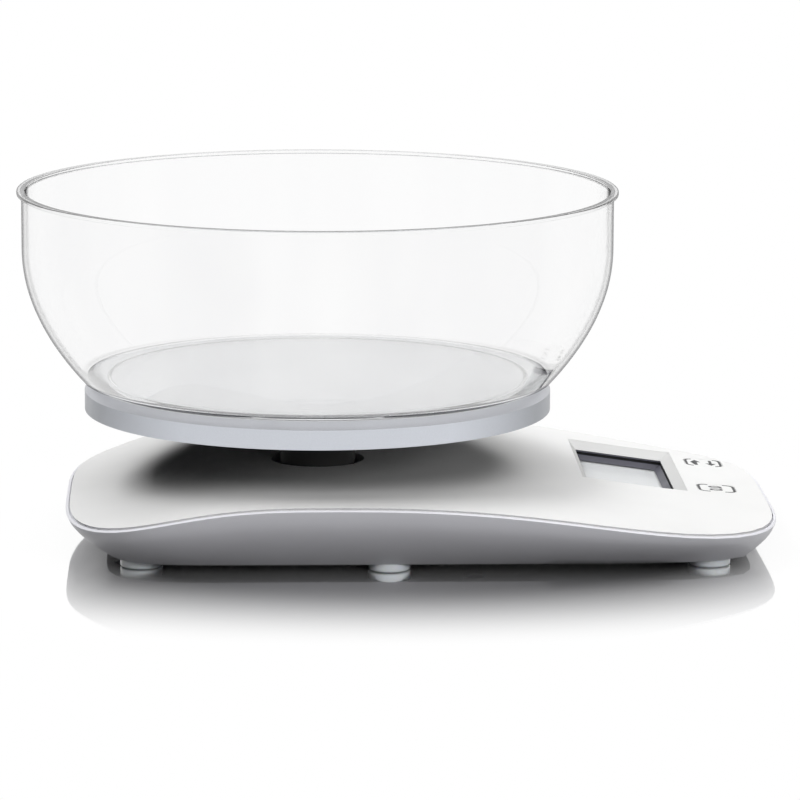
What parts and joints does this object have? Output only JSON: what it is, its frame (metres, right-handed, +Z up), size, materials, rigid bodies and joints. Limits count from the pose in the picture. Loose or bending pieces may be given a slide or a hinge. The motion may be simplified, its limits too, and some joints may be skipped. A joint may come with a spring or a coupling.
{
  "type": "kitchen scale",
  "caption": "Electronic kitchen scale: low boat-shaped casing with a sunken display and push keys, round weighing platform on a load cell, and a clear lift-off bowl.",
  "frame": {"origin": "on the table, under the middle of the whole scale's outline with its bowl on", "axes": "+Z up, -Y towards the display and the user, +X to the user's right"},
  "size_m": [0.1926, 0.2423, 0.1129],
  "materials": {
    "casing_plastic": "satin silver-grey ABS",
    "cover_plastic": "satin white ABS",
    "foot_rubber": "soft white",
    "screw_steel": "zinc plated",
    "plated_steel": "zinc plated",
    "cell_aluminium": "milled",
    "gauge_sealant": "matte silicone",
    "post_plastic": "matte dark grey",
    "platform_plastic": "satin silver",
    "clear_plastic": "polished clear plastic",
    "clear_film": "clear film",
    "lcd_glass": "grey liquid crystal panel",
    "dark_plastic": "dark grey",
    "amber_film": "flexible circuit film",
    "board_laminate": "green solder mask",
    "chip_black": "moulded black",
    "component_tan": "ceramic",
    "key_plastic": "satin white ABS",
    "plunger_plastic": "moulded red",
    "coin_steel": "bright nickel",
    "contact_brass": "plated spring metal",
    "wire_red": "insulation",
    "wire_black": "insulation",
    "wire_yellow": "insulation"
  },
  "bodies": {
    "base": {"lower_casing": "casing_plastic", "upper_cover": "cover_plastic", "rear_left_foot": "foot_rubber", "rear_right_foot": "foot_rubber", "middle_left_foot": "foot_rubber", "middle_right_foot": "foot_rubber", "front_left_foot": "foot_rubber", "front_right_foot": "foot_rubber", "casing_screws": "screw_steel", "spreader_plate": "plated_steel", "load_cell": "cell_aluminium", "strain_gauges": "gauge_sealant", "cell_screws": "screw_steel", "display_film": "clear_film", "lcd_panel": "lcd_glass", "lcd_tray": "dark_plastic", "lcd_ribbon": "amber_film", "main_board": "board_laminate", "board_screws": "screw_steel", "processor_chip": "chip_black", "board_parts": "component_tan", "key_board": "board_laminate", "tact_switches": "chip_black", "coin_cell": "coin_steel", "plus_contact": "contact_brass", "minus_contact": "contact_brass", "sensor_wires": "wire_red", "battery_wires": "wire_black", "key_wires": "wire_yellow"},
    "platform": {"platform_disc": "platform_plastic", "platform_screws": "screw_steel", "platform_post": "post_plastic", "post_screws": "screw_steel", "carrier_arm": "plated_steel", "arm_screws": "screw_steel"},
    "bowl": {"bowl": "clear_plastic"},
    "tare_key": {"tare_key": "key_plastic", "tare_plunger": "plunger_plastic"},
    "unit_key": {"unit_key": "key_plastic", "unit_plunger": "plunger_plastic"},
    "battery_door": {"battery_door": "casing_plastic"}
  },
  "joints": [
    {"name": "platform_sink", "type": "slide", "parent": "base", "child": "platform", "axis": [0, 0, -1], "range_m": [0, 0.0004], "stiffness_N_per_m": 98000, "springref_m": -0.0001, "deforming": ["load_cell"]},
    {"name": "bowl_lift", "type": "slide", "parent": "platform", "child": "bowl", "axis": [0, 0, 1], "range_m": [0, 0.12]},
    {"name": "tare_press", "type": "slide", "parent": "base", "child": "tare_key", "axis": [0, 0, -1], "range_m": [0, 0.0004], "stiffness_N_per_m": 4000, "springref_m": -0.0002},
    {"name": "unit_press", "type": "slide", "parent": "base", "child": "unit_key", "axis": [0, 0, -1], "range_m": [0, 0.0004], "stiffness_N_per_m": 4000, "springref_m": -0.0002},
    {"name": "battery_door_slide", "type": "slide", "parent": "base", "child": "battery_door", "axis": [1, 0, 0], "range_m": [0, 0.026]}
  ]
}
